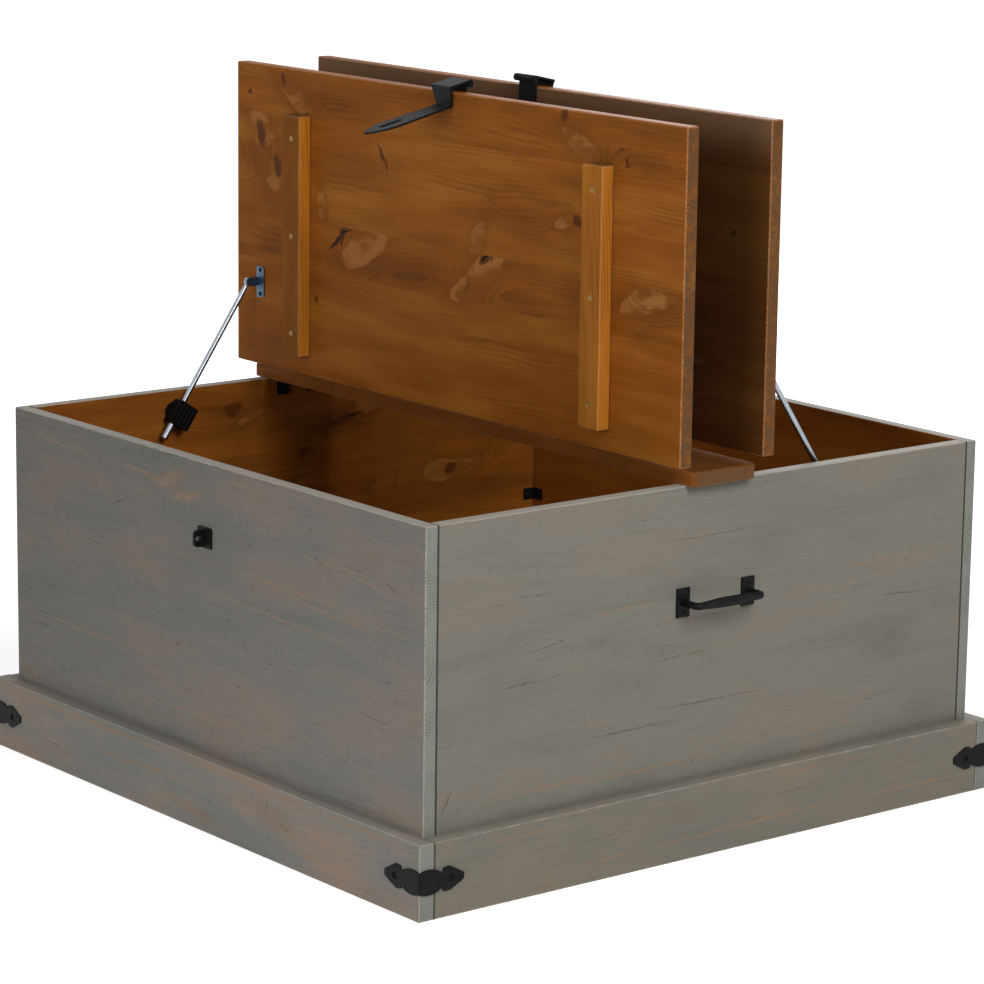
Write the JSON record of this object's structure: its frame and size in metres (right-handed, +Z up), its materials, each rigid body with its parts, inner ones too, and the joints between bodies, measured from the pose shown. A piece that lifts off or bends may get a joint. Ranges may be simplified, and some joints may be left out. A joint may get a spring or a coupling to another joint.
{
  "type": "two-lid storage trunk",
  "caption": "Square wooden storage trunk with a centre rail, two lids that open back to back, friction lid stays, hasps with staples, pull handles and iron corner straps.",
  "frame": {"origin": "on the floor, under the middle of the trunk", "axes": "+X along the front to the right, +Y from the front to the rear, +Z up; both lids are stored open"},
  "size_m": [0.91, 0.89, 0.8657],
  "materials": {
    "grey_paint": "worn grey paint over pine",
    "brown_stained_pine": "brown stain, matt",
    "batten_pine": "light brown stain, matt",
    "floor_pine": "plain planed pine",
    "black_iron": "matt black",
    "zinc_steel": "bright zinc plate",
    "clamp_plastic": "moulded black",
    "brass_screws": "passivated yellow"
  },
  "bodies": {
    "trunk": {"centre_rail": "brown_stained_pine", "floor_boards": "floor_pine", "floor_cleats": "floor_pine", "front_corner_braces": "black_iron", "front_hinge_pins": "black_iron", "front_hinge_rail_leaves": "black_iron", "front_left_corner_iron": "black_iron", "front_panel": "grey_paint", "front_plinth": "grey_paint", "front_right_corner_iron": "black_iron", "front_staple_loop": "black_iron", "front_staple_plate": "black_iron", "front_stay_pivot_plate": "clamp_plastic", "left_handle_bar": "black_iron", "left_handle_plates": "black_iron", "left_panel": "grey_paint", "left_plinth": "grey_paint", "left_rail_brackets": "black_iron", "rear_corner_braces": "black_iron", "rear_hinge_pins": "black_iron", "rear_hinge_rail_leaves": "black_iron", "rear_left_corner_iron": "black_iron", "rear_panel": "grey_paint", "rear_plinth": "grey_paint", "rear_right_corner_iron": "black_iron", "rear_staple_loop": "black_iron", "rear_staple_plate": "black_iron", "rear_stay_pivot_plate": "clamp_plastic", "right_handle_bar": "black_iron", "right_handle_plates": "black_iron", "right_panel": "grey_paint", "right_plinth": "grey_paint", "right_rail_brackets": "black_iron"},
    "front_lid": {"front_batten_screws": "brass_screws", "front_hasp_leaf": "black_iron", "front_hasp_pin": "black_iron", "front_hinge_lid_leaves": "black_iron", "front_left_batten": "batten_pine", "front_lid_board": "brown_stained_pine", "front_right_batten": "batten_pine", "front_stay_bracket": "zinc_steel"},
    "front_hasp_strap": {"front_hasp_strap": "black_iron"},
    "front_stay_rod": {"front_stay_rod": "zinc_steel"},
    "front_stay_clamp": {"front_stay_clamp": "clamp_plastic"},
    "rear_lid": {"rear_batten_screws": "brass_screws", "rear_hasp_leaf": "black_iron", "rear_hasp_pin": "black_iron", "rear_hinge_lid_leaves": "black_iron", "rear_left_batten": "batten_pine", "rear_lid_board": "brown_stained_pine", "rear_right_batten": "batten_pine", "rear_stay_bracket": "zinc_steel"},
    "rear_hasp_strap": {"rear_hasp_strap": "black_iron"},
    "rear_stay_rod": {"rear_stay_rod": "zinc_steel"},
    "rear_stay_clamp": {"rear_stay_clamp": "clamp_plastic"}
  },
  "joints": [
    {"name": "front_lid_hinge", "type": "hinge", "parent": "trunk", "child": "front_lid", "pos_m": [0, -0.0495, 0.4616], "axis": [1, 0, 0], "range_deg": [0, 90]},
    {"name": "front_stay_pivot", "type": "hinge", "parent": "front_lid", "child": "front_stay_rod", "pos_m": [-0.395, -0.0858, 0.5706], "axis": [1, 0, 0], "range_deg": [-123.6, 0]},
    {"name": "front_stay_slide", "type": "slide", "parent": "front_stay_rod", "child": "front_stay_clamp", "axis": [0, 0.5658, 0.8246], "range_m": [0, 0.1545]},
    {"name": "front_hasp_swing", "type": "hinge", "parent": "front_lid", "child": "front_hasp_strap", "pos_m": [0, -0.0502, 0.8611], "axis": [-1, 0, 0], "range_deg": [0, 26.1]},
    {"name": "rear_lid_hinge", "type": "hinge", "parent": "trunk", "child": "rear_lid", "pos_m": [0, 0.0495, 0.4616], "axis": [-1, 0, 0], "range_deg": [0, 90]},
    {"name": "rear_stay_pivot", "type": "hinge", "parent": "rear_lid", "child": "rear_stay_rod", "pos_m": [0.395, 0.0858, 0.5706], "axis": [-1, 0, 0], "range_deg": [-123.6, 0]},
    {"name": "rear_stay_slide", "type": "slide", "parent": "rear_stay_rod", "child": "rear_stay_clamp", "axis": [0, -0.5658, 0.8246], "range_m": [0, 0.1545]},
    {"name": "rear_hasp_swing", "type": "hinge", "parent": "rear_lid", "child": "rear_hasp_strap", "pos_m": [0, 0.0502, 0.8611], "axis": [1, 0, 0], "range_deg": [0, 26.1]}
  ],
  "couplings": [
    {"joint": "front_stay_pivot", "follows": "front_lid_hinge", "ratio": -1.3705},
    {"joint": "front_stay_slide", "follows": "front_lid_hinge", "m_per_rad": 0.098212},
    {"joint": "front_hasp_swing", "follows": "front_lid_hinge", "ratio": 0.28889},
    {"joint": "rear_stay_pivot", "follows": "rear_lid_hinge", "ratio": -1.3705},
    {"joint": "rear_stay_slide", "follows": "rear_lid_hinge", "m_per_rad": 0.098212},
    {"joint": "rear_hasp_swing", "follows": "rear_lid_hinge", "ratio": 0.28889}
  ]
}
